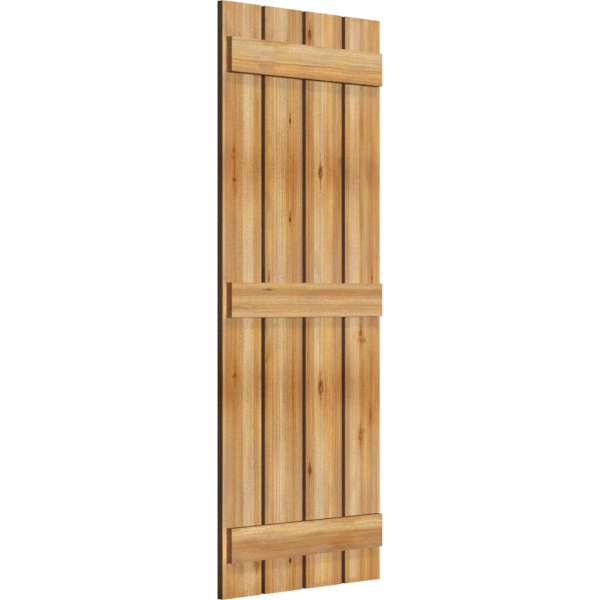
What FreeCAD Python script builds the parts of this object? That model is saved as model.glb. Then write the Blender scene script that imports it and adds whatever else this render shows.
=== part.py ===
import FreeCAD
import Part
import os
from FreeCAD import Vector

# Board and batten shutter: four upright boards with open joints between them, held together
# by three battens that lie across the front and are screwed on from behind.
# Millimetres. X runs to the right, Y into the wall and Z up. The origin lies on the wall plane,
# at mid-height, behind the middle of the inner left board.

# Boards
shutter_height = 1524.0         # 60 in
board_width = 136.525           # 5 3/8 in
board_thickness = 20.6375       # 13/16 in, which 4/4 stock planes to
board_spacing = 12.7            # 1/2 in open joint between neighbours
board_arris_radius = 1.2        # eased long edges

# Battens
batten_height = 88.9            # 3 1/2 in
batten_thickness = 20.6375      # 13/16 in
batten_side_inset = 12.7        # 1/2 in of bare board beside each batten end
batten_end_margin = 92.075      # 3 5/8 in of bare board beyond the outer battens
batten_arris_radius = 1.2       # eased long edges

# Countersunk screws, two on a diagonal wherever a board crosses a batten
shank_hole_diameter = 4.4       # clearance through the board
head_hole_diameter = 9.0        # mouth of the countersink in the board's back
countersink_depth = 2.3         # a 90 degree cone for a flush flat head
pilot_hole_diameter = 2.8       # blind hole in the batten's back
pilot_front_cover = 6.35        # 1/4 in of sound wood left in front of each pilot hole
screw_side_distance = 34.925    # 1 3/8 in from a board's side to the nearer screw
screw_edge_distance = 22.225    # 7/8 in from a batten's long edge to the nearer screw

board_names = ["left_board", "inner_left_board", "inner_right_board", "right_board"]
batten_names = ["bottom_batten", "middle_batten", "top_batten"]
origin_board = "inner_left_board"

up = Vector(0, 0, 1)
across = Vector(1, 0, 0)
outward = Vector(0, -1, 0)      # from the wall towards the viewer
straight_tolerance = 1e-6

board_pitch = board_width + board_spacing
first_board_centre = -board_names.index(origin_board) * board_pitch
board_centres = [first_board_centre + number * board_pitch for number in range(len(board_names))]
shutter_left = board_centres[0] - board_width / 2
shutter_right = board_centres[-1] + board_width / 2
shutter_middle = (shutter_left + shutter_right) / 2

lowest_batten_centre = -shutter_height / 2 + batten_end_margin + batten_height / 2
batten_pitch = -2 * lowest_batten_centre / (len(batten_names) - 1)
batten_centres = [lowest_batten_centre + number * batten_pitch for number in range(len(batten_names))]


def ease_long_edges(plank, grain, radius):
    # Rounds the four edges that run along the grain; the sawn ends stay square.
    long_edges = []
    for edge in plank.Edges:
        run = edge.Vertexes[1].Point - edge.Vertexes[0].Point
        if run.cross(grain).Length < straight_tolerance:
            long_edges.append(edge)
    return plank.makeFillet(radius, long_edges)


def make_board(centre_x):
    corner = Vector(centre_x - board_width / 2, -board_thickness, -shutter_height / 2)
    blank = Part.makeBox(board_width, board_thickness, shutter_height, corner)
    return ease_long_edges(blank, up, board_arris_radius)


def make_batten(centre_z):
    length = shutter_right - shutter_left - 2 * batten_side_inset
    corner = Vector(
        shutter_left + batten_side_inset,
        -board_thickness - batten_thickness,
        centre_z - batten_height / 2,
    )
    blank = Part.makeBox(length, batten_thickness, batten_height, corner)
    return ease_long_edges(blank, across, batten_arris_radius)


def crossing_screws(board_x, batten_z):
    # Two screws on a diagonal, so they share no line of grain. Each diagonal rises towards the
    # shutter's middle, so its two halves mirror each other.
    lean = 1 if board_x < shutter_middle else -1
    side = lean * (board_width / 2 - screw_side_distance)
    rise = batten_height / 2 - screw_edge_distance
    lower = Vector(board_x - side, 0, batten_z - rise)
    upper = Vector(board_x + side, 0, batten_z + rise)
    return [lower, upper]


def clearance_hole(back_point):
    shank = Part.makeCylinder(shank_hole_diameter / 2, board_thickness, back_point, outward)
    countersink = Part.makeCone(
        head_hole_diameter / 2, shank_hole_diameter / 2, countersink_depth, back_point, outward
    )
    return shank.fuse(countersink)


def pilot_hole(back_point):
    mouth = back_point + outward * board_thickness
    return Part.makeCylinder(
        pilot_hole_diameter / 2, batten_thickness - pilot_front_cover, mouth, outward
    )


def save_node(solid, name):
    solid.removeSplitter().exportStep(os.path.join("parts", name + ".step"))
    print(name, "volume", round(solid.Volume / 1e6, 4), "litres")


os.makedirs("parts", exist_ok=True)

for name, centre_x in zip(board_names, board_centres):
    holes = []
    for centre_z in batten_centres:
        holes += [clearance_hole(point) for point in crossing_screws(centre_x, centre_z)]
    save_node(make_board(centre_x).cut(holes), name)

for name, centre_z in zip(batten_names, batten_centres):
    holes = []
    for centre_x in board_centres:
        holes += [pilot_hole(point) for point in crossing_screws(centre_x, centre_z)]
    save_node(make_batten(centre_z).cut(holes), name)
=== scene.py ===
import bpy
import bmesh
import math
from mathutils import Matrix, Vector, noise


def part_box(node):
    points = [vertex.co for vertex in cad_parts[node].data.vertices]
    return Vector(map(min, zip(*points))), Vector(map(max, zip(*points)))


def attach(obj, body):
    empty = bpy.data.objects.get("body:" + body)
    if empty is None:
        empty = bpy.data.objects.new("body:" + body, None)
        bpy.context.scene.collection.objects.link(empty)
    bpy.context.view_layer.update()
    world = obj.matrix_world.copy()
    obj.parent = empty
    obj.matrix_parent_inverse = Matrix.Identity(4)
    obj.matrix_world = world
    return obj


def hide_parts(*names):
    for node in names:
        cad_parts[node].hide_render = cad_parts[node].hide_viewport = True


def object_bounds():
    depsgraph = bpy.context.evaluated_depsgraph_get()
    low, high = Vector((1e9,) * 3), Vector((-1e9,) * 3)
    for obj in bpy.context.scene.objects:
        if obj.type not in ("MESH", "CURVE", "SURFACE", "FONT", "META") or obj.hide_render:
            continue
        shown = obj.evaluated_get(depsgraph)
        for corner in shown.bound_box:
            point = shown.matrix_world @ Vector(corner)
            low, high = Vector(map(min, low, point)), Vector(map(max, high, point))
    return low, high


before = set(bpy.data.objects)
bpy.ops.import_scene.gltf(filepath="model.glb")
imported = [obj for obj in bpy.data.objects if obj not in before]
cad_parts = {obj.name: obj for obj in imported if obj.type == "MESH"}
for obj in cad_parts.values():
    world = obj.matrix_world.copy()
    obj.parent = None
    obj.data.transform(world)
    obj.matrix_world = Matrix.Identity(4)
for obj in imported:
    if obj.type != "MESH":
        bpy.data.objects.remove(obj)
cadLow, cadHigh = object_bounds()
print("frame loaded:", len(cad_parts), "planks")

mm = 0.001
axisIndex = {"X": 0, "Y": 1, "Z": 2}
rightThrough = 1e6             # mm, deeper than any plank


def toLinear(hexColour):
    channels = [int(hexColour[i:i + 2], 16) / 255 for i in (1, 3, 5)]
    linear = [c / 12.92 if c <= 0.04045 else ((c + 0.055) / 1.055) ** 2.4 for c in channels]
    return (*linear, 1.0)


def addNode(tree, kind, inputs=None, **settings):
    node = tree.nodes.new("ShaderNode" + kind)
    for name, value in settings.items():
        setattr(node, name, value)
    for key, value in (inputs or {}).items():
        if isinstance(value, bpy.types.Node):
            answer = 2 if value.bl_idname == "ShaderNodeMix" else 0    # a colour mix answers third
            value = value.outputs[answer]
        if isinstance(value, bpy.types.NodeSocket):
            tree.links.new(value, node.inputs[key])
        else:
            node.inputs[key].default_value = value
    return node


# Western red cedar, fine sawn and left bare: matt, with straight bands from cream sapwood
# to russet heartwood, fine ring lines along the grain, short saw ticks across it and
# small orange-brown knots. Its darker places are also its redder ones.
# A texture has sizes in mm across, along and through the plank, and a shift that sets its noise
# apart from the others. Fibres, lines and saw marks are drawn coarser than real ones so that they show.
cedar = {
    "tones": {
        "ivory": "#d8b585",
        "cream": "#d6af7c",
        "petal": "#d9ae82",
        "peach": "#e0b98a",
        "straw": "#d1a76f",
        "sand": "#c79e67",
        "gold": "#d5a363",
        "corn": "#dfac6a",
        "fresh": "#d09c68",
        "honey": "#cb985c",
        "tan": "#c4955c",
        "rose": "#c09060",
        "amber": "#c28d54",
        "russet": "#bb844c",
        "clay": "#b8875e",
        # painted light, for the lit strips beside the batten ends
        "pale": "#e2c294",
        "paintedLight": "#eeb87a",
        "deep": "#b07540",
        "halo": "#c6823f",
        "bark": "#9a6030",
        "tail": "#a25a22",
        "knot": "#8a4a1c",
        "ember": "#8c4832",
        "dot": "#723a02",
        "ash": "#a38672",
        "blush": "#b4744a",
        "plum": "#a0613f",
        "moss": "#a07446",
    },
    "boardEdge": "#88684c",            # sawn edges coloured darker than the faces: partly the wood's own tone, partly painted shade on sides that look away from the light
    # painted shade: the battens' upper and lower edges coloured dark brown
    "battenEdge": "#74492a",
    "endTone": "#c18c61",              # end grain
    "edgeShadeCover": 0.85,                 # how far these hide the face's own tone
    "endCover": 0.7,
    "boardTurn": (0.4, 0.8),           # how far a face looks aside where they start and are full
    "battenTurn": (0.85, 1.0),
    "roughness": 0.92,
    "specular": 0.08,
    "relief": {"strength": 0.3, "height": 0.5},    # mm high

    # the line of grain wanders, with weights in mm
    "broadWaver": {"sizes": (70, 300, 60), "shift": 0.0, "weight": 10.0},
    "fineWaver": {"sizes": (16, 60, 20), "shift": 0.3, "weight": 7.0},

    # light and dark marks along the grain, then those that the saw left across it
    "fibres": {"sizes": (2.6, 420, 2.6), "shift": 0.0, "weight": 0.79},
    "lines": {"sizes": (5.0, 1400, 5.0), "shift": 1.7, "weight": 0.51, "scaledBy": "lining"},
    "streaks": {"sizes": (13, 150, 12), "shift": 3.4, "weight": 0.48, "scaledBy": "patchiness"},
    "patches": {"sizes": (45, 190, 40), "shift": 5.1, "weight": 0.90, "scaledBy": "patchiness"},
    "speckle": {"sizes": (3.2, 4.2, 3.2), "shift": 6.8, "weight": 0.72, "scaledBy": "sawMarks"},
    "sawTicks": {"sizes": (10, 2.6, 10), "shift": 8.5, "weight": 0.58, "scaledBy": "sawMarks"},
    "darkening": (0.48, 0.95, 1.58),   # red, green and blue share of every light and dark mark

    # places that are yellower or greyer, and places that are pinker or greener
    "warmth": {"sizes": (30, 130, 30), "shift": 2.9, "weight": 0.40, "channels": (1.17, 0.94, -0.89)},
    "flush": {"sizes": (9, 90, 9), "shift": 3.9, "weight": 0.22, "channels": (1.0, -1.0, 0.3)},

    "rings": {
        "spacing": 8.0,                # mm, two or three years drawn as one
        "drift": {"sizes": (60, 900, 60), "shift": 0.6, "weight": 6.0},    # weight in rings
        "lateness": 2.0,               # each darkens slowly and ends at once
        "weight": 0.35,
        "lift": 0.2,                   # makes up for their darkness
        "faintAt": 0.35,               # dark streaks hide the rings: the noise where they are faintest,
        "fullAt": 0.65,                # where they show in full
        "faintest": 0.2,               # and the share that always shows
    },

    # the boards' tone swells and fades along their length
    "swell": {
        "length": 573,                 # mm from crest to crest
        "crest": 343,                  # mm above mid-height
        "slow": -0.10,                 # shade and warmth of the slow wave
        "warm": 0.045,
        "narrowing": 10.0,             # draws the crests in to short waists
        "waist": -0.17,                # shade and warmth of the waists
        "brown": -0.07,
        "lift": 0.05,                  # makes up for their darkness
    },

    # blotches, moved about so that their outlines are uneven, or crisp and near the front face only
    "unevenness": {"sizes": (16, 45, 20), "shift": 0.7, "reach": (40, 120)},
    "blotchFade": (0.5, 1.0),          # shares of the ellipse where one starts to fade and ends
    "crispDepth": 14,                  # mm that the crisp ones reach in

    # knots, with ragged outlines: a layer starts to fade and ends at these shares of its ellipse,
    # and has this strength
    "ragged": {"sizes": (4, 7, 6), "shift": 1.1, "weight": 1.5},
    "knotFades": {
        "swerve": (0.0, 1.0, -0.7),    # the grain swings aside
        "halo": (0.1, 1.0, 0.5),
        "tail": (0.2, 1.0, 0.9),
        "core": (0.5, 1.15, 0.95),
        "eye": (0.4, 1.0, 0.85),
    },
    "swerveReach": (2.6, 0.9),         # of the knot's half width and its tail's half length
    "haloReach": (2.6, 1.6, 0.35),     # of its half width, its half height and its tail's half length
}

# Across is mm from a board's left side, or up from a batten's lower edge. Along is mm above
# mid-height on a board, or from the left end on a batten. Bands give the tone at places across,
# and it blends from each to the next. Knots and blotches have their middle and half sizes,
# across and along. A knot's tail is the dark streak that runs through it.
boardPieces = [
    {
        "name": "leftBoardPlank",
        "node": "left_board",
        "seed": 1.3,
        "slant": 0.35,         # how far the rings lean through the thickness
        "lean": 0.0,           # how far the grain runs off along the length
        "waver": 0.6,          # how far it wanders
        "patchiness": 1.0,     # strength of the streaks and patches
        "swells": True,        # the tone swells along the length
        "lining": 0.85,        # strength of the lines and rings
        "sawMarks": 1.12,      # strength of the speckle and ticks from the saw
        "bands": [
            (0, "cream"), (4, "straw"), (8, "fresh"), (13, "amber"), (20, "rose"), (28, "amber"),
            (36, "amber"), (42, "russet"), (46, "amber"), (50, "honey"), (56, "tan"), (67, "tan"),
            (70, "sand"), (73, "cream"), (78, "ivory"), (82, "cream"), (92, "cream"), (98, "straw"),
            (108, "straw"), (111, "amber"), (116, "amber"), (123, "amber"), (127, "honey"),
            (132, "straw"), (136, "tan"),
        ],
        "knots": [
            {"at": (41, 381), "half": (6, 9), "tail": (4.4, 42), "tone": "knot"},
            {"at": (40, 366), "half": (11, 7), "tail": (4.0, 16), "tone": "plum"},
            {"at": (42, 338), "half": (2.6, 34), "tail": (3.6, 60), "tone": "tail"},
            {"at": (42, 305), "half": (8, 6), "tail": (4.4, 66), "tone": "knot", "bend": -0.5},
            {"at": (44, 284), "half": (4.6, 11), "tail": (3.4, 22), "tone": "blush"},
            {"at": (43, -190), "half": (10, 6), "tail": (4.4, 60), "tone": "knot", "bend": 0.8},
            {"at": (120, -683), "half": (11, 12), "tail": (5.0, 32), "tone": "moss"},
        ],
        "blotches": [
            {"at": (70, 722), "half": (80, 60), "tone": "cream", "strength": 0.4},
            {"at": (36, 338), "half": (26, 95), "tone": "russet", "strength": 0.35},
            {"at": (119, 488), "half": (9, 52), "tone": "russet", "strength": 0.6},
            {"at": (127, 546), "half": (11, 38), "tone": "cream", "strength": 0.45, "crisp": True},
            {"at": (119, 300), "half": (10, 90), "tone": "russet", "strength": 0.5},
            {"at": (92, 480), "half": (18, 60), "tone": "pale", "strength": 0.2},
            {"at": (88, 210), "half": (18, 60), "tone": "pale", "strength": 0.2},
            {"at": (90, -115), "half": (20, 50), "tone": "pale", "strength": 0.25},
            {"at": (94, -395), "half": (18, 95), "tone": "pale", "strength": 0.35},
            {"at": (93, 83), "half": (18, 40), "tone": "sand", "strength": 0.4},
            {"at": (119, -190), "half": (12, 90), "tone": "russet", "strength": 0.5},
            {"at": (26, -230), "half": (10, 60), "tone": "deep", "strength": 0.2},
            {"at": (55, -700), "half": (60, 45), "tone": "straw", "strength": 0.3},
            {"at": (92, -725), "half": (40, 55), "tone": "pale", "strength": 0.55},
            # painted light: crisp paler patches on the board beside the batten ends, where the wood looks
            # more strongly lit
            {"at": (2, 617), "half": (24, 68), "tone": "paintedLight", "strength": 0.65, "crisp": True},
            {"at": (2, 0), "half": (24, 58), "tone": "paintedLight", "strength": 0.9, "crisp": True},
            {"at": (2, -625), "half": (24, 58), "tone": "paintedLight", "strength": 0.85, "crisp": True},
        ],
    },
    {
        "name": "innerLeftBoardPlank",
        "node": "inner_left_board",
        "seed": 4.1,
        "slant": -0.3,
        "lean": 0.0,
        "waver": 0.6,
        "patchiness": 1.0,
        "swells": True,
        "lining": 1.55,
        "sawMarks": 1.0,
        "bands": [
            (0, "moss"), (5, "amber"), (13, "amber"), (18, "honey"), (21, "gold"), (26, "amber"),
            (30, "tan"), (34, "cream"), (39, "straw"), (43, "sand"), (46, "cream"), (50, "straw"),
            (54, "cream"), (58, "ivory"), (62, "cream"), (66, "cream"), (73, "sand"), (79, "tan"),
            (86, "tan"), (94, "honey"), (99, "amber"), (103, "russet"), (107, "amber"),
            (111, "tan"), (122, "rose"), (131, "clay"), (136, "clay"),
        ],
        "knots": [
            {"at": (91, 470), "half": (4.6, 8), "tail": (4.2, 36), "tone": "dot", "halo": "tan"},
            {"at": (91, 212), "half": (4.6, 8), "tail": (4.2, 36), "tone": "dot", "halo": "tan"},
            {"at": (14, 56), "half": (3.6, 10), "tail": (3.2, 30), "tone": "bark", "halo": "tan"},
            {"at": (91, -682), "half": (6, 7), "tail": (3.8, 26), "tone": "dot"},
        ],
        "blotches": [
            {"at": (45, 722), "half": (60, 60), "tone": "cream", "strength": 0.4},
            {"at": (2, 418), "half": (28, 36), "tone": "deep", "strength": 0.75, "crisp": True},
            {"at": (16, 330), "half": (18, 40), "tone": "russet", "strength": 0.4},
            {"at": (2, 260), "half": (27, 36), "tone": "deep", "strength": 0.75, "crisp": True},
            {"at": (13, -78), "half": (13, 28), "tone": "cream", "strength": 0.45},
            {"at": (98, -520), "half": (52, 56), "tone": "amber", "strength": 0.45, "crisp": True},
            {"at": (55, -712), "half": (22, 42), "tone": "cream", "strength": 0.4, "crisp": True},
            {"at": (56, 317), "half": (24, 75), "tone": "rose", "strength": 0.15},
            # painted light: a broad gold wash that brightens the board's upper half
            {"at": (68, 330), "half": (110, 300), "tone": "gold", "strength": 0.25},
            {"at": (55, 492), "half": (22, 62), "tone": "pale", "strength": 0.3},
            {"at": (103, 290), "half": (8, 125), "tone": "deep", "strength": 0.5},
            {"at": (98, 205), "half": (6, 9), "tone": "halo", "strength": 0.6},
            {"at": (10, -138), "half": (19, 32), "tone": "halo", "strength": 0.65, "crisp": True},
            {"at": (4, -158), "half": (9, 16), "tone": "ember", "strength": 0.3},
            {"at": (59, -360), "half": (8, 130), "tone": "sand", "strength": 0.4},
            {"at": (103, -220), "half": (8, 120), "tone": "deep", "strength": 0.55},
        ],
    },
    {
        "name": "innerRightBoardPlank",
        "node": "inner_right_board",
        "seed": 7.7,
        "slant": 0.3,
        "lean": 0.0,
        "waver": 0.6,
        "patchiness": 1.0,
        "swells": True,
        "lining": 1.4,
        "sawMarks": 0.85,
        "bands": [
            (0, "clay"), (5, "amber"), (9, "russet"), (14, "amber"), (20, "honey"), (28, "rose"),
            (32, "straw"), (36, "cream"), (48, "cream"), (54, "straw"), (58, "straw"),
            (62, "ivory"), (66, "cream"), (70, "straw"), (74, "corn"), (78, "gold"), (82, "gold"),
            (86, "corn"), (94, "corn"), (99, "gold"), (104, "honey"), (110, "clay"), (116, "rose"),
            (124, "tan"), (131, "rose"), (136, "deep"),
        ],
        "knots": [
            {"at": (14, 702), "half": (8, 17), "tail": (4.6, 46), "tone": "ember"},
            {"at": (55, 338), "half": (10, 21), "tail": (4.4, 74), "tone": "knot", "halo": "gold",
             "eye": {"shift": (2.5, -3), "half": (4.5, 9), "tone": "blush"}},
            {"at": (56, -232), "half": (11, 23), "tail": (4.6, 74), "tone": "knot", "halo": "honey",
             "eye": {"shift": (2, -4), "half": (5.5, 7.5), "tone": "ash"}},
            {"at": (15, -448), "half": (8, 16), "tail": (4.6, 42), "tone": "knot"},
        ],
        "blotches": [
            {"at": (50, 722), "half": (60, 60), "tone": "cream", "strength": 0.4},
            {"at": (12, 467), "half": (16, 75), "tone": "deep", "strength": 0.35},
            {"at": (14, 142), "half": (16, 36), "tone": "deep", "strength": 0.3},
            {"at": (44, 430), "half": (15, 50), "tone": "pale", "strength": 0.25},
            {"at": (40, 86), "half": (14, 40), "tone": "tan", "strength": 0.5},
            {"at": (31, 500), "half": (9, 48), "tone": "cream", "strength": 0.4, "crisp": True},
            {"at": (95, -525), "half": (15, 48), "tone": "tan", "strength": 0.4},
            {"at": (64, -766), "half": (62, 24), "tone": "amber", "strength": 0.5, "crisp": True},
            {"at": (32, -395), "half": (9, 80), "tone": "cream", "strength": 0.4, "crisp": True},
            {"at": (120, 456), "half": (12, 44), "tone": "deep", "strength": 0.35},
            {"at": (88, 330), "half": (12, 90), "tone": "honey", "strength": 0.3},
            {"at": (124, 337), "half": (18, 65), "tone": "deep", "strength": 0.25},
            {"at": (134, 345), "half": (8, 34), "tone": "ember", "strength": 0.4},
            {"at": (14, 702), "half": (15, 40), "tone": "russet", "strength": 0.6},
            {"at": (44, -150), "half": (14, 55), "tone": "pale", "strength": 0.35},
            {"at": (74, -236), "half": (7, 9), "tone": "halo", "strength": 0.85},
            {"at": (88, -150), "half": (10, 50), "tone": "gold", "strength": 0.5},
            {"at": (120, -230), "half": (14, 45), "tone": "deep", "strength": 0.25},
        ],
    },
    {
        "name": "rightBoardPlank",
        "node": "right_board",
        "seed": 11.9,
        "slant": -0.35,
        "lean": 0.0,
        "waver": 0.6,
        "patchiness": 1.0,
        "swells": True,
        "lining": 0.8,
        "sawMarks": 0.7,
        "bands": [
            (0, "fresh"), (6, "fresh"), (11, "tan"), (15, "sand"), (19, "cream"), (24, "ivory"),
            (30, "peach"), (35, "peach"), (40, "petal"), (44, "straw"), (50, "cream"),
            (54, "straw"), (58, "honey"), (62, "amber"), (67, "honey"), (74, "honey"),
            (80, "straw"), (86, "honey"), (93, "tan"), (99, "amber"), (105, "tan"), (112, "fresh"),
            (119, "honey"), (124, "honey"), (129, "straw"), (136, "sand"),
        ],
        "knots": [
            {"at": (68, -110), "half": (13, 8), "tail": (3.5, 12), "tone": "deep"},
            {"at": (61, -92), "half": (7, 12), "tail": (4.0, 58), "tone": "bark",
             "eye": {"shift": (0, -8), "half": (4.5, 5.5), "tone": "rose"}},
            {"at": (66, -354), "half": (10, 6), "tail": (3.0, 10), "tone": "deep"},
            {"at": (60, -370), "half": (8, 16), "tail": (4.0, 60), "tone": "bark",
             "eye": {"shift": (0, 2), "half": (5, 7), "tone": "clay"}},
            {"at": (99, -310), "half": (5, 18), "tail": (4.4, 50), "tone": "tail"},
            {"at": (105, 60), "half": (4, 10), "tail": (3.4, 38), "tone": "bark", "halo": "tan"},
        ],
        "blotches": [
            {"at": (70, 722), "half": (80, 60), "tone": "cream", "strength": 0.4},
            {"at": (62, 470), "half": (11, 52), "tone": "russet", "strength": 0.75, "crisp": True},
            {"at": (29, 620), "half": (15, 115), "tone": "tan", "strength": 0.28, "crisp": True},
            {"at": (39, -80), "half": (12, 32), "tone": "tan", "strength": 0.4},
            {"at": (20, -232), "half": (16, 42), "tone": "straw", "strength": 0.5, "crisp": True},
            {"at": (69, 546), "half": (13, 32), "tone": "straw", "strength": 0.45, "crisp": True},
            {"at": (97, 402), "half": (15, 36), "tone": "straw", "strength": 0.4, "crisp": True},
            {"at": (48, 766), "half": (52, 22), "tone": "amber", "strength": 0.45, "crisp": True},
            {"at": (25, -766), "half": (42, 22), "tone": "amber", "strength": 0.45, "crisp": True},
            {"at": (93, 715), "half": (14, 50), "tone": "amber", "strength": 0.5},
            {"at": (123, 150), "half": (13, 44), "tone": "cream", "strength": 0.45},
            {"at": (37, -494), "half": (12, 46), "tone": "tan", "strength": 0.35},
            {"at": (64, 215), "half": (11, 60), "tone": "russet", "strength": 0.7, "crisp": True},
            {"at": (97, 335), "half": (16, 44), "tone": "deep", "strength": 0.2},
            {"at": (112, -170), "half": (24, 70), "tone": "russet", "strength": 0.45},
            {"at": (104, -318), "half": (12, 26), "tone": "deep", "strength": 0.3},
            {"at": (102, -510), "half": (6, 48), "tone": "blush", "strength": 0.35, "crisp": True},
            {"at": (64, -230), "half": (11, 90), "tone": "russet", "strength": 0.5},
            {"at": (30, -300), "half": (16, 80), "tone": "petal", "strength": 0.6},
        ],
    },
]

battenPieces = [
    {
        "name": "topBattenPlank",
        "node": "top_batten",
        "seed": 15.2,
        "slant": 0.4,
        "lean": -0.016,
        "waver": 1.5,
        "patchiness": 0.45,
        "swells": False,
        "lining": 1.25,
        "sawMarks": 1.0,
        "bands": [
            (0, "tan"), (3, "honey"), (7, "fresh"), (12, "gold"), (16, "corn"), (24, "corn"),
            (27, "gold"), (30, "tan"), (33, "cream"), (38, "cream"), (41, "sand"), (45, "ivory"),
            (52, "ivory"), (55, "cream"), (59, "ivory"), (76, "ivory"), (82, "cream"),
        ],
        "knots": [],
        "blotches": [
            {"at": (16, 130), "half": (12, 46), "tone": "rose", "strength": 0.6},
            {"at": (83, 150), "half": (12, 70), "tone": "tan", "strength": 0.75},
            {"at": (52, 110), "half": (10, 80), "tone": "pale", "strength": 0.4},
            {"at": (68, 175), "half": (10, 45), "tone": "sand", "strength": 0.4},
            {"at": (67, 385), "half": (11, 60), "tone": "pale", "strength": 0.4},
            {"at": (35, 450), "half": (14, 120), "tone": "gold", "strength": 0.5},
            {"at": (14, 500), "half": (16, 90), "tone": "gold", "strength": 0.6},
        ],
    },
    {
        "name": "middleBattenPlank",
        "node": "middle_batten",
        "seed": 19.6,
        "slant": -0.4,
        "lean": 0.0,
        "waver": 1.0,
        "patchiness": 0.35,
        "swells": False,
        "lining": 0.8,
        "sawMarks": 1.0,
        "bands": [
            (0, "cream"), (9, "cream"), (13, "cream"), (19, "fresh"), (25, "sand"), (30, "sand"),
            (34, "fresh"), (38, "straw"), (41, "petal"), (45, "cream"), (49, "straw"),
            (55, "fresh"), (59, "tan"), (62, "rose"), (66, "tan"), (70, "rose"), (73, "tan"),
            (77, "straw"), (84, "cream"), (89, "sand"),
        ],
        "knots": [
            {"at": (71, 132), "half": (3.2, 9), "tail": (3.0, 36), "tone": "bark", "halo": "clay"},
        ],
        "blotches": [
            {"at": (24, 40), "half": (7, 70), "tone": "russet", "strength": 0.6},
            {"at": (7, 410), "half": (10, 110), "tone": "peach", "strength": 0.4},
        ],
    },
    {
        "name": "bottomBattenPlank",
        "node": "bottom_batten",
        "seed": 23.4,
        "slant": 0.35,
        "lean": 0.006,
        "waver": 2.0,
        "patchiness": 0.8,
        "swells": False,
        "lining": 0.8,
        "sawMarks": 1.0,
        "bands": [
            (0, "rose"), (4, "clay"), (10, "clay"), (17, "rose"), (26, "rose"), (31, "amber"),
            (38, "russet"), (45, "amber"), (53, "amber"), (57, "tan"), (60, "straw"), (64, "cream"),
            (70, "cream"), (79, "cream"), (84, "sand"), (89, "sand"),
        ],
        "knots": [],
        "blotches": [
            {"at": (82, 170), "half": (14, 210), "tone": "pale", "strength": 0.55},
            {"at": (74, 255), "half": (20, 60), "tone": "pale", "strength": 0.35},
            {"at": (67, 140), "half": (11, 60), "tone": "sand", "strength": 0.45},
            {"at": (82, 405), "half": (17, 85), "tone": "amber", "strength": 0.7},
            {"at": (26, 400), "half": (28, 80), "tone": "deep", "strength": 0.55},
            {"at": (14, 315), "half": (16, 50), "tone": "fresh", "strength": 0.5},
            {"at": (20, 535), "half": (16, 40), "tone": "fresh", "strength": 0.4},
            {"at": (8, 60), "half": (12, 60), "tone": "rose", "strength": 0.6},
            {"at": (68, 150), "half": (30, 150), "tone": "petal", "strength": 0.3},
        ],
    },
]


def grainNoise(tree, point, texture, seed):
    finer = [1 / size for size in texture["sizes"]]
    scaled = addNode(tree, "VectorMath", {0: point, 1: finer}, operation="MULTIPLY")
    settings = {"Vector": scaled, "W": seed + texture["shift"], "Scale": 1.0}
    return addNode(tree, "TexNoise", settings, noise_dimensions="4D")


def addSwing(tree, value, swing, weight):
    # adds a noise whose middle, 0.5, changes nothing
    part = addNode(tree, "Math", {0: swing, 1: weight, 2: -weight / 2}, operation="MULTIPLY_ADD")
    return addNode(tree, "Math", {0: value, 1: part}, operation="ADD")


def makeUneven(tree, point, seed):
    # the same places moved about by a noise, so that what is drawn on them has an uneven outline
    swirl = grainNoise(tree, point, cedar["unevenness"], seed).outputs["Color"]
    swirl = addNode(tree, "VectorMath", {0: swirl, 1: (0.5, 0.5, 0.5)}, operation="SUBTRACT")    # both ways
    reach = (*cedar["unevenness"]["reach"], 0)
    return addNode(tree, "VectorMath", {0: swirl, 1: reach, 2: point}, operation="MULTIPLY_ADD")


def ellipseFade(tree, point, at, half, fade, ragged=None, deep=rightThrough):
    # full inside the inner share of an ellipse on the face, fading out to nothing at the outer share
    inner, outer, strength = fade
    local = addNode(tree, "Mapping", {"Vector": point, "Location": (*at, 0), "Scale": (*half, deep)},
                    vector_type="TEXTURE")
    reach = addNode(tree, "VectorMath", {0: local}, operation="LENGTH").outputs["Value"]
    if ragged:
        reach = addSwing(tree, reach, ragged, cedar["ragged"]["weight"])
    return addNode(tree, "MapRange", {0: reach, 1: outer, 2: inner, 3: 0.0, 4: strength},
                   interpolation_type="SMOOTHSTEP")


def plankPlace(tree, low, acrossAxis, alongAxis, alongStart):
    # where a point lies on the plank, in mm: across the grain, along it and in from the front face
    spot = addNode(tree, "SeparateXYZ", {0: addNode(tree, "TexCoord").outputs["Object"]})
    place = {}
    for name, axis, start in (
        ("across", acrossAxis, low[axisIndex[acrossAxis]]),
        ("along", alongAxis, alongStart),
        ("depth", "Y", low.y),
    ):
        inMm = {0: spot.outputs[axis], 1: 1 / mm, 2: -start / mm}
        place[name] = addNode(tree, "Math", inMm, operation="MULTIPLY_ADD")
    place["point"] = addNode(tree, "CombineXYZ", {0: place["across"], 1: place["along"], 2: place["depth"]})
    return place


def followGrain(tree, piece, place):
    # the line of grain that passes through each place: it leans, wavers and swings round the knots
    across, along, depth, point = [place[name] for name in ("across", "along", "depth", "point")]
    grain = addNode(tree, "Math", {0: depth, 1: piece["slant"], 2: across}, operation="MULTIPLY_ADD")
    grain = addNode(tree, "Math", {0: along, 1: piece["lean"], 2: grain}, operation="MULTIPLY_ADD")
    for waver in (cedar["broadWaver"], cedar["fineWaver"]):
        swing = grainNoise(tree, point, waver, piece["seed"])
        grain = addSwing(tree, grain, swing, waver["weight"] * piece["waver"])
    wide, tall = cedar["swerveReach"]
    for knot in piece["knots"]:
        around = (knot["half"][0] * wide, knot["tail"][1] * tall)
        swerve = ellipseFade(tree, point, knot["at"], around, cedar["knotFades"]["swerve"])
        aside = addNode(tree, "Math", {0: across, 1: knot["at"][0]}, operation="SUBTRACT")
        grain = addNode(tree, "Math", {0: aside, 1: swerve, 2: grain}, operation="MULTIPLY_ADD")
    place["grain"] = grain
    place["grainPoint"] = addNode(tree, "CombineXYZ", {0: grain, 1: along, 2: depth})


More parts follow.
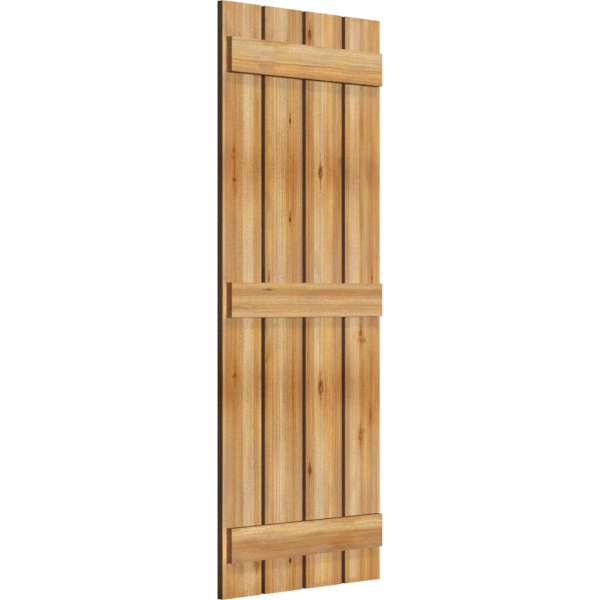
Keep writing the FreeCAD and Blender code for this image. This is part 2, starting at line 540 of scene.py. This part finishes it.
def layBands(tree, piece, place, width, tones):
    # broad bands of tone across the plank, then blotches over them
    share = addNode(tree, "Math", {0: place["grain"], 1: width}, operation="DIVIDE")
    ramp = addNode(tree, "ValToRGB", {0: share})
    stops = ramp.color_ramp.elements
    while len(stops) < len(piece["bands"]):
        stops.new(0.5)                 # moved to its place below
    for stop, (start, tone) in zip(stops, piece["bands"]):
        stop.position = start / width
        stop.color = tones[tone]
    colour = ramp
    unevenPoint = makeUneven(tree, place["point"], piece["seed"])
    for blotch in piece["blotches"]:
        crisp = blotch.get("crisp", False)
        laid = place["point"] if crisp else unevenPoint
        deep = cedar["crispDepth"] if crisp else rightThrough
        fade = (*cedar["blotchFade"], blotch["strength"])
        patch = ellipseFade(tree, laid, blotch["at"], blotch["half"], fade, deep=deep)
        colour = addNode(tree, "Mix", {0: patch, 6: colour, 7: tones[blotch["tone"]]}, data_type="RGBA")
    return colour


def markGrain(tree, piece, place):
    # noises for the light and dark marks, and the shade that they give together
    shade = 0.0
    marks = {}
    for name in ("fibres", "lines", "streaks", "patches", "speckle", "sawTicks"):
        texture = cedar[name]
        laid = place["point"] if name in ("speckle", "sawTicks") else place["grainPoint"]
        marks[name] = grainNoise(tree, laid, texture, piece["seed"])
        scale = piece[texture["scaledBy"]] if "scaledBy" in texture else 1.0
        shade = addSwing(tree, shade, marks[name], texture["weight"] * scale)
    return marks, shade


def ringShade(tree, piece, place, streaks):
    rings = cedar["rings"]
    drift = grainNoise(tree, place["grainPoint"], rings["drift"], piece["seed"])
    drift = addSwing(tree, 0.0, drift, rings["drift"]["weight"])
    years = {0: place["grain"], 1: 1 / rings["spacing"], 2: drift}
    year = addNode(tree, "Math", years, operation="MULTIPLY_ADD")
    year = addNode(tree, "Math", {0: year}, operation="FRACT")
    lateWood = addNode(tree, "Math", {0: year, 1: rings["lateness"]}, operation="POWER")
    hidden = {0: streaks, 1: rings["faintAt"], 2: rings["fullAt"], 3: rings["faintest"], 4: 1.0}
    plainness = addNode(tree, "MapRange", hidden)
    lateWood = addNode(tree, "Math", {0: lateWood, 1: plainness}, operation="MULTIPLY")
    weight = rings["weight"] * piece["lining"]
    darker = {0: lateWood, 1: -weight, 2: weight * rings["lift"]}
    return addNode(tree, "Math", darker, operation="MULTIPLY_ADD")


def swellShade(tree, along):
    swell = cedar["swell"]
    turn = 2 * math.pi / swell["length"]
    wave = addNode(tree, "Math", {0: along, 1: turn, 2: -turn * swell["crest"]}, operation="MULTIPLY_ADD")
    wave = addNode(tree, "Math", {0: wave}, operation="COSINE")
    waist = addNode(tree, "Math", {0: wave, 1: 0.5, 2: 0.5}, operation="MULTIPLY_ADD")    # from 0 to 1
    waist = addNode(tree, "Math", {0: waist, 1: swell["narrowing"]}, operation="POWER")
    shade = addNode(tree, "Math", {0: waist, 1: swell["waist"], 2: swell["lift"]}, operation="MULTIPLY_ADD")
    shade = addNode(tree, "Math", {0: wave, 1: swell["slow"], 2: shade}, operation="MULTIPLY_ADD")
    warm = addNode(tree, "Math", {0: waist, 1: swell["brown"]}, operation="MULTIPLY")
    warm = addNode(tree, "Math", {0: wave, 1: swell["warm"], 2: warm}, operation="MULTIPLY_ADD")
    return shade, warm


def tintShade(tree, piece, place, shade, warm):
    # red, green and blue shares for a shade, then for what is warmer and what is pinker
    inColour = {0: shade, 1: cedar["darkening"], 2: (1, 1, 1)}
    shade = addNode(tree, "VectorMath", inColour, operation="MULTIPLY_ADD")
    tints = [(warm, cedar["warmth"])] if warm else []
    for texture in (cedar["warmth"], cedar["flush"]):
        tint = grainNoise(tree, place["grainPoint"], texture, piece["seed"])
        tints.append((addSwing(tree, 0.0, tint, texture["weight"]), texture))
    for tint, texture in tints:
        inColour = {0: tint, 1: texture["channels"], 2: shade}
        shade = addNode(tree, "VectorMath", inColour, operation="MULTIPLY_ADD")
    return shade


def addKnots(tree, piece, place, tones, colour):
    # knots, drawn out along the grain, some with arms that slope to both sides
    across, along, depth, point = [place[name] for name in ("across", "along", "depth", "point")]
    ragged = grainNoise(tree, point, cedar["ragged"], piece["seed"])
    wide, tall, drawn = cedar["haloReach"]
    for knot in piece["knots"]:
        at, half, tail = knot["at"], knot["half"], knot["tail"]
        aside = addNode(tree, "Math", {0: across, 1: at[0]}, operation="SUBTRACT")
        aside = addNode(tree, "Math", {0: aside}, operation="ABSOLUTE")
        slope = {0: aside, 1: knot.get("bend", 0.0), 2: along}
        bent = addNode(tree, "Math", slope, operation="MULTIPLY_ADD")
        bentPoint = addNode(tree, "CombineXYZ", {0: across, 1: bent, 2: depth})
        around = (half[0] * wide, half[1] * tall + tail[1] * drawn)
        layers = [
            ("halo", point, at, around, knot.get("halo", "halo")),
            ("tail", point, at, tail, "tail"),
            ("core", bentPoint, at, half, knot["tone"]),
        ]
        if "eye" in knot:
            eye = knot["eye"]
            middle = [start + shift for start, shift in zip(at, eye["shift"])]
            layers.append(("eye", point, middle, eye["half"], eye["tone"]))
        for name, laid, middle, reach, tone in layers:
            cover = ellipseFade(tree, laid, middle, reach, cedar["knotFades"][name], ragged)
            colour = addNode(tree, "Mix", {0: cover, 6: colour, 7: tones[tone]}, data_type="RGBA")
    return colour


def toneSides(tree, acrossAxis, alongAxis, shade, colour):
    # painted shade on the sawn edges, which are partly darker wood too, and the end grain's own tone, on
    # the faces that look aside
    kind = "board" if alongAxis == "Z" else "batten"
    turnStart, turnEnd = cedar[kind + "Turn"]
    facing = addNode(tree, "TexCoord").outputs["Normal"]
    facing = addNode(tree, "VectorMath", {0: facing}, operation="ABSOLUTE")
    facing = addNode(tree, "SeparateXYZ", {0: facing})
    for axis, toneName, cover in (
        (acrossAxis, kind + "Edge", cedar["edgeShadeCover"]),
        (alongAxis, "endTone", cedar["endCover"]),
    ):
        turned = {0: facing.outputs[axis], 1: turnStart, 2: turnEnd, 3: 0.0, 4: cover}
        side = addNode(tree, "MapRange", turned)
        plain = toLinear(cedar[toneName])[:3]
        tone = addNode(tree, "VectorMath", {0: shade, 1: plain}, operation="MULTIPLY")
        colour = addNode(tree, "Mix", {0: side, 6: colour, 7: tone}, data_type="RGBA")
    return colour


def sawnCedar(piece, low, high, acrossAxis, alongAxis, alongStart):
    material = bpy.data.materials.new("sawnCedar" + piece["name"][0].upper() + piece["name"][1:])
    material.use_nodes = True
    tree = material.node_tree
    tree.nodes.clear()
    tones = {name: toLinear(colour) for name, colour in cedar["tones"].items()}
    width = (high - low)[axisIndex[acrossAxis]] / mm

    place = plankPlace(tree, low, acrossAxis, alongAxis, alongStart)
    followGrain(tree, piece, place)
    colour = layBands(tree, piece, place, width, tones)
    marks, shade = markGrain(tree, piece, place)
    rings = ringShade(tree, piece, place, marks["streaks"])
    shade = addNode(tree, "Math", {0: shade, 1: rings}, operation="ADD")
    warm = None
    if piece["swells"]:
        swell, warm = swellShade(tree, place["along"])
        shade = addNode(tree, "Math", {0: shade, 1: swell}, operation="ADD")
    shade = tintShade(tree, piece, place, shade, warm)
    colour = addNode(tree, "VectorMath", {0: colour, 1: shade}, operation="MULTIPLY")
    colour = addKnots(tree, piece, place, tones, colour)
    colour = toneSides(tree, acrossAxis, alongAxis, shade, colour)

    relief = addNode(tree, "Math", {0: marks["fibres"], 1: marks["speckle"]}, operation="ADD")
    relief = addNode(tree, "Math", {0: marks["sawTicks"], 1: relief}, operation="ADD")
    bump = addNode(tree, "Bump", {
        "Strength": cedar["relief"]["strength"],
        "Distance": cedar["relief"]["height"] * mm,
        "Height": relief,
    })
    surface = addNode(tree, "BsdfPrincipled", {
        "Base Color": colour,
        "Roughness": cedar["roughness"],
        "Specular IOR Level": cedar["specular"],
        "Normal": bump,
    })
    addNode(tree, "OutputMaterial", {"Surface": surface})
    return material


plankCut = {                   # mm
    "arris": 1.2,              # eased long edges
    "arrisSegments": 3,
    "stepAlong": 6.0,          # mesh size
    "stepAcross": 4.0,
    "stepThrough": 5.0,
    "raisedGrain": 0.16,       # soft bands lie this far below hard ones
    "grainWidth": 7,
    "grainLength": 260,
    "knotDish": 0.4,
    "dishReach": 1.4,          # of the knot's half size
    "sharpAngle": 20,          # degrees
}
squareOn = 0.99                # a direction with this share along an axis counts as lying along it
touching = 1e-6                # m, a corner this near a side lies on it


def edgesAlong(bm, axis):
    found = []
    for edge in bm.edges:
        run = (edge.verts[1].co - edge.verts[0].co).normalized()
        if abs(run[axis]) > squareOn:
            found.append(edge)
    return found


def sawPlank(piece, low, high, acrossAxis, alongAxis, alongStart):
    acrossNumber, alongNumber, throughNumber = axisIndex[acrossAxis], axisIndex[alongAxis], axisIndex["Y"]
    size = high - low
    bm = bmesh.new()
    bmesh.ops.create_cube(bm, size=1.0)
    bmesh.ops.scale(bm, vec=size, verts=bm.verts)
    bmesh.ops.translate(bm, vec=(low + high) / 2, verts=bm.verts)
    steps = ((alongNumber, "stepAlong"), (acrossNumber, "stepAcross"), (throughNumber, "stepThrough"))
    for axis, step in steps:
        cuts = round(size[axis] / (plankCut[step] * mm)) - 1
        bmesh.ops.subdivide_edges(bm, edges=edgesAlong(bm, axis), cuts=cuts, use_grid_fill=True)
    arrises = []
    for edge in edgesAlong(bm, alongNumber):
        end = edge.verts[0].co
        insets = [
            min(abs(end[axis] - low[axis]), abs(end[axis] - high[axis]))
            for axis in (acrossNumber, throughNumber)
        ]
        if max(insets) < touching:
            arrises.append(edge)
    bmesh.ops.bevel(bm, geom=arrises, offset=plankCut["arris"] * mm, segments=plankCut["arrisSegments"],
                    profile=0.5, affect="EDGES", material=-1)
    bm.normal_update()
    for vert in bm.verts:
        if abs(vert.normal[throughNumber]) < squareOn:
            continue
        across = (vert.co[acrossNumber] - low[acrossNumber]) / mm
        along = (vert.co[alongNumber] - alongStart) / mm
        band = Vector((across / plankCut["grainWidth"], along / plankCut["grainLength"], piece["seed"]))
        softness = 0.5 + 0.5 * noise.noise(band)    # from 0 to 1
        sink = plankCut["raisedGrain"] * softness
        for knot in piece["knots"]:
            aside = (across - knot["at"][0]) / (knot["half"][0] * plankCut["dishReach"])
            beyond = (along - knot["at"][1]) / (knot["half"][1] * plankCut["dishReach"])
            sink += plankCut["knotDish"] * math.exp(-aside ** 2 - beyond ** 2)
        vert.co -= vert.normal * sink * mm
    return bm


def pieceFrom(bm, name):
    mesh = bpy.data.meshes.new(name)
    bm.to_mesh(mesh)
    bm.free()
    made = bpy.data.objects.new(name, mesh)
    bpy.context.scene.collection.objects.link(made)
    return made


boardBoxes = [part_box(piece["node"]) for piece in boardPieces]
battenBoxes = [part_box(piece["node"]) for piece in battenPieces]
pilotCover = 6.35                                    # mm, 1/4 in of wood in front of each pilot hole
boardFront = -boardBoxes[0][0].y / mm                # mm out from the boards' backs
pilotEnd = -battenBoxes[0][0].y / mm - pilotCover

# A ring is (radius, depth of its lobes, distance out from the boards' backs), in mm.
screw = {
    "sideDistance": 34.925,    # mm from a board's side to the nearer screw
    "edgeDistance": 22.225,    # mm from a batten's long edge to the nearer screw
    "segments": 36,
    "lobes": 6,
    "body": [
        (1.50, 0.22, 2.05), (1.70, 0.26, 0.50), (1.78, 0.26, 0.45),     # lobed recess for the driver
        (3.75, 0, 0.45), (3.88, 0, 0.50), (3.88, 0, 0.56),              # flat head
        (2.10, 0, 2.34), (2.10, 0, boardFront - 0.85),                  # shank
        (1.38, 0, boardFront - 0.1), (1.38, 0, pilotEnd - 2.75),        # core in the pilot hole
        (0.20, 0, pilotEnd - 0.25),                                     # point
    ],
    "boardHole": [(5.5, 0, -1.0), (2.2, 0, 2.3), (2.2, 0, boardFront + 1.0)],    # countersunk
    "battenHole": [(1.4, 0, boardFront - 1.0), (1.4, 0, pilotEnd)],              # blind
    "sharpAngle": 35,          # degrees
    "colour": "#b9b6ae",
    "roughness": 0.34,
}


def turnRings(bm, spot, rings):
    # one closed turned solid, drawn out ring by ring
    loop = bmesh.ops.create_circle(bm, cap_ends=True, segments=screw["segments"], radius=1.0)["verts"]
    for vert in loop:
        vert.co = (spot[0] + vert.co.x, 0, spot[1] + vert.co.y)
    edges = list({edge for vert in loop for edge in vert.link_edges})
    for number, (radius, lobeDepth, out) in enumerate(rings):
        if number:
            drawn = bmesh.ops.extrude_edge_only(bm, edges=edges)["geom"]
            loop = [item for item in drawn if isinstance(item, bmesh.types.BMVert)]
            edges = [item for item in drawn if isinstance(item, bmesh.types.BMEdge)
                     and item.verts[0] in loop and item.verts[1] in loop]
        for vert in loop:
            angle = math.atan2(vert.co.z - spot[1], vert.co.x - spot[0])
            reach = (radius + lobeDepth * math.cos(screw["lobes"] * angle)) * mm
            vert.co = (spot[0] + reach * math.cos(angle), -out * mm, spot[1] + reach * math.sin(angle))
    bmesh.ops.contextual_create(bm, geom=edges)


def screwSpots(boardBox, battenBox):
    # two on a diagonal that rises towards the shutter's middle
    board, batten = (boardBox[0] + boardBox[1]) / 2, (battenBox[0] + battenBox[1]) / 2
    lean = 1 if board.x < (cadLow[0] + cadHigh[0]) / 2 else -1
    side = lean * ((boardBox[1].x - boardBox[0].x) / 2 - screw["sideDistance"] * mm)
    rise = (battenBox[1].z - battenBox[0].z) / 2 - screw["edgeDistance"] * mm
    return [(board.x - side, batten.z - rise), (board.x + side, batten.z + rise)]


def boreHoles(plank, spots, rings):
    bm = bmesh.new()
    for spot in spots:
        turnRings(bm, spot, rings)
    bmesh.ops.recalc_face_normals(bm, faces=bm.faces)
    drill = pieceFrom(bm, "drill")
    cut = plank.modifiers.new("holes", "BOOLEAN")
    cut.operation = "DIFFERENCE"
    cut.solver = "EXACT"
    cut.object = drill
    bored = bpy.data.meshes.new_from_object(plank.evaluated_get(bpy.context.evaluated_depsgraph_get()))
    plank.modifiers.clear()
    solid = plank.data
    plank.data = bored
    bpy.data.meshes.remove(solid)
    bpy.data.objects.remove(drill)
    bored.name = plank.name
    check = bmesh.new()
    check.from_mesh(bored)
    openEdges = sum(1 for edge in check.edges if len(edge.link_faces) != 2)
    check.free()
    print("bored", plank.name, len(spots), "holes,", openEdges, "open edges")


for acrossAxis, alongAxis, slotName, hole, pieces in (
    ("X", "Z", "cedar_board", "boardHole", boardPieces),
    ("Z", "X", "cedar_batten", "battenHole", battenPieces),
):
    for piece in pieces:
        low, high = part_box(piece["node"])
        alongStart = 0.0 if alongAxis == "Z" else low.x
        plank = pieceFrom(sawPlank(piece, low, high, acrossAxis, alongAxis, alongStart), piece["name"])
        spots = []
        for boardBox in [(low, high)] if slotName == "cedar_board" else boardBoxes:
            for battenBox in [(low, high)] if slotName == "cedar_batten" else battenBoxes:
                spots += screwSpots(boardBox, battenBox)
        boreHoles(plank, spots, screw[hole])
        plank.data.shade_smooth()
        plank.data.set_sharp_from_angle(angle=math.radians(plankCut["sharpAngle"]))
        plank.data.materials.append(sawnCedar(piece, low, high, acrossAxis, alongAxis, alongStart))
        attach(plank, "root")
        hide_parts(piece["node"])
        print("plank", piece["name"], len(plank.data.polygons), "faces")

# Zinc-plated steel, cold headed: a smooth grey metal with a soft sheen.
zincSteel = bpy.data.materials.new("zincPlatedSteel")
zincSteel.use_nodes = True
shader = zincSteel.node_tree.nodes["Principled BSDF"]
shader.inputs["Base Color"].default_value = toLinear(screw["colour"])
shader.inputs["Metallic"].default_value = 1.0
shader.inputs["Roughness"].default_value = screw["roughness"]
for piece, battenBox in zip(battenPieces, battenBoxes):
    bm = bmesh.new()
    for boardBox in boardBoxes:
        for spot in screwSpots(boardBox, battenBox):
            turnRings(bm, spot, screw["body"])
    bmesh.ops.recalc_face_normals(bm, faces=bm.faces)
    screws = pieceFrom(bm, piece["name"].replace("Plank", "Screws"))
    screws.data.shade_smooth()
    screws.data.set_sharp_from_angle(angle=math.radians(screw["sharpAngle"]))
    screws.data.materials.append(zincSteel)
    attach(screws, "root")
print("screws driven")


cameraPlace = {
    "spot": (-3.9178, -4.0361, 0.0),   # m, level with the shutter's mid-height
    "yaw": -44.7233,                   # degrees from straight at the wall
    "lens": 128.88,                    # mm
    "sensor": 36.0,                    # mm
}
camera = bpy.data.objects.new("camera", bpy.data.cameras.new("camera"))
camera.location = cameraPlace["spot"]
camera.rotation_euler = (math.radians(90), 0, math.radians(cameraPlace["yaw"]))
camera.data.lens = cameraPlace["lens"]
camera.data.sensor_width = cameraPlace["sensor"]
bpy.context.scene.collection.objects.link(camera)
bpy.context.scene.camera = camera

# A level key a little left of the front, a higher one that shades the boards under each batten
# and a fill from behind.
lamps = [
    {"name": "frontKey", "from": (-0.156, -0.986, 0.052), "strength": 2.505, "spread": 12},
    {"name": "highKey", "from": (-0.079, -0.564, 0.822), "strength": 0.84, "spread": 8},
    {"name": "backFill", "from": (0.9, 1.0, 0.5), "strength": 3.6, "spread": 40},
]
for lamp in lamps:
    light = bpy.data.lights.new(lamp["name"], "SUN")
    light.energy = lamp["strength"]
    light.angle = math.radians(lamp["spread"])
    sun = bpy.data.objects.new(lamp["name"], light)
    sun.rotation_euler = Vector(lamp["from"]).to_track_quat("Z", "Y").to_euler()
    bpy.context.scene.collection.objects.link(sun)


def seenDirectly(tree):
    # 1 for what the camera sees, also in a polished face, and 0 for light thrown on other things
    rays = addNode(tree, "LightPath").outputs
    seen = addNode(tree, "Math", {0: rays["Is Camera Ray"], 1: rays["Is Glossy Ray"]}, operation="MAXIMUM")
    return addNode(tree, "Math", {0: seen, 1: rays["Is Transmission Ray"]}, operation="MAXIMUM")


white = toLinear("#ffffff")
ambient = 0.03                 # what the white around lights the shutter with
world = bpy.data.worlds.new("studio")
bpy.context.scene.world = world
world.use_nodes = True
tree = world.node_tree
tree.nodes.clear()
level = addNode(tree, "MapRange", {0: seenDirectly(tree), 1: 0.0, 2: 1.0, 3: ambient, 4: 1.0})
sky = addNode(tree, "Background", {"Color": white, "Strength": level})
addNode(tree, "OutputWorld", {"Surface": sky})

studioFloor = {
    "drop": 0.35,              # m below the shutter, which hangs on a wall
    "radius": 2.3,             # m
    "segments": 96,
    "fadeFrom": 1.0,           # m from the middle, into the white
    "fadeTo": 0.96,            # of the radius
    "seen": "#d4d3d0",         # its colour to the camera
    "thrown": "#343433",       # what it throws back, low so that the boards are lit alike from end to end
    "glow": 0.5,               # to the camera only, so that it is pale where the lamps hardly reach
}
bm = bmesh.new()
bmesh.ops.create_circle(bm, cap_ends=True, segments=studioFloor["segments"], radius=studioFloor["radius"])
bmesh.ops.translate(bm, vec=(0, 0, cadLow[2] - studioFloor["drop"]), verts=bm.verts)
floor = pieceFrom(bm, "studioFloor")
paleFloor = bpy.data.materials.new("paleStudioFloor")   # matt painted board, fading into the white
paleFloor.use_nodes = True
tree = paleFloor.node_tree
tree.nodes.clear()
seen = seenDirectly(tree)
flatPlace = addNode(tree, "TexCoord").outputs["Object"]
flatPlace = addNode(tree, "VectorMath", {0: flatPlace, 1: (1, 1, 0)}, operation="MULTIPLY")
away = addNode(tree, "VectorMath", {0: flatPlace}, operation="LENGTH").outputs["Value"]
fadeEnd = studioFloor["radius"] * studioFloor["fadeTo"]
fade = addNode(tree, "MapRange", {0: away, 1: studioFloor["fadeFrom"], 2: fadeEnd, 3: 0.0, 4: 1.0},
               interpolation_type="SMOOTHSTEP")
fade = addNode(tree, "Math", {0: fade, 1: seen}, operation="MULTIPLY")
glow = addNode(tree, "Math", {0: seen, 1: studioFloor["glow"]}, operation="MULTIPLY")
paint = addNode(tree, "Mix", {
    0: seen,
    6: toLinear(studioFloor["thrown"]),
    7: toLinear(studioFloor["seen"]),
}, data_type="RGBA")
matt = addNode(tree, "BsdfDiffuse", {"Color": paint})
lit = addNode(tree, "Emission", {"Color": white, "Strength": glow})
both = addNode(tree, "AddShader", {0: matt, 1: lit})
blank = addNode(tree, "Emission", {"Color": white, "Strength": 1.0})
shown = addNode(tree, "MixShader", {0: fade, 1: both, 2: blank})
addNode(tree, "OutputMaterial", {"Surface": shown})
floor.data.materials.append(paleFloor)
print("camera, lamps and floor set")

bpy.context.scene.view_settings.view_transform = "Standard"
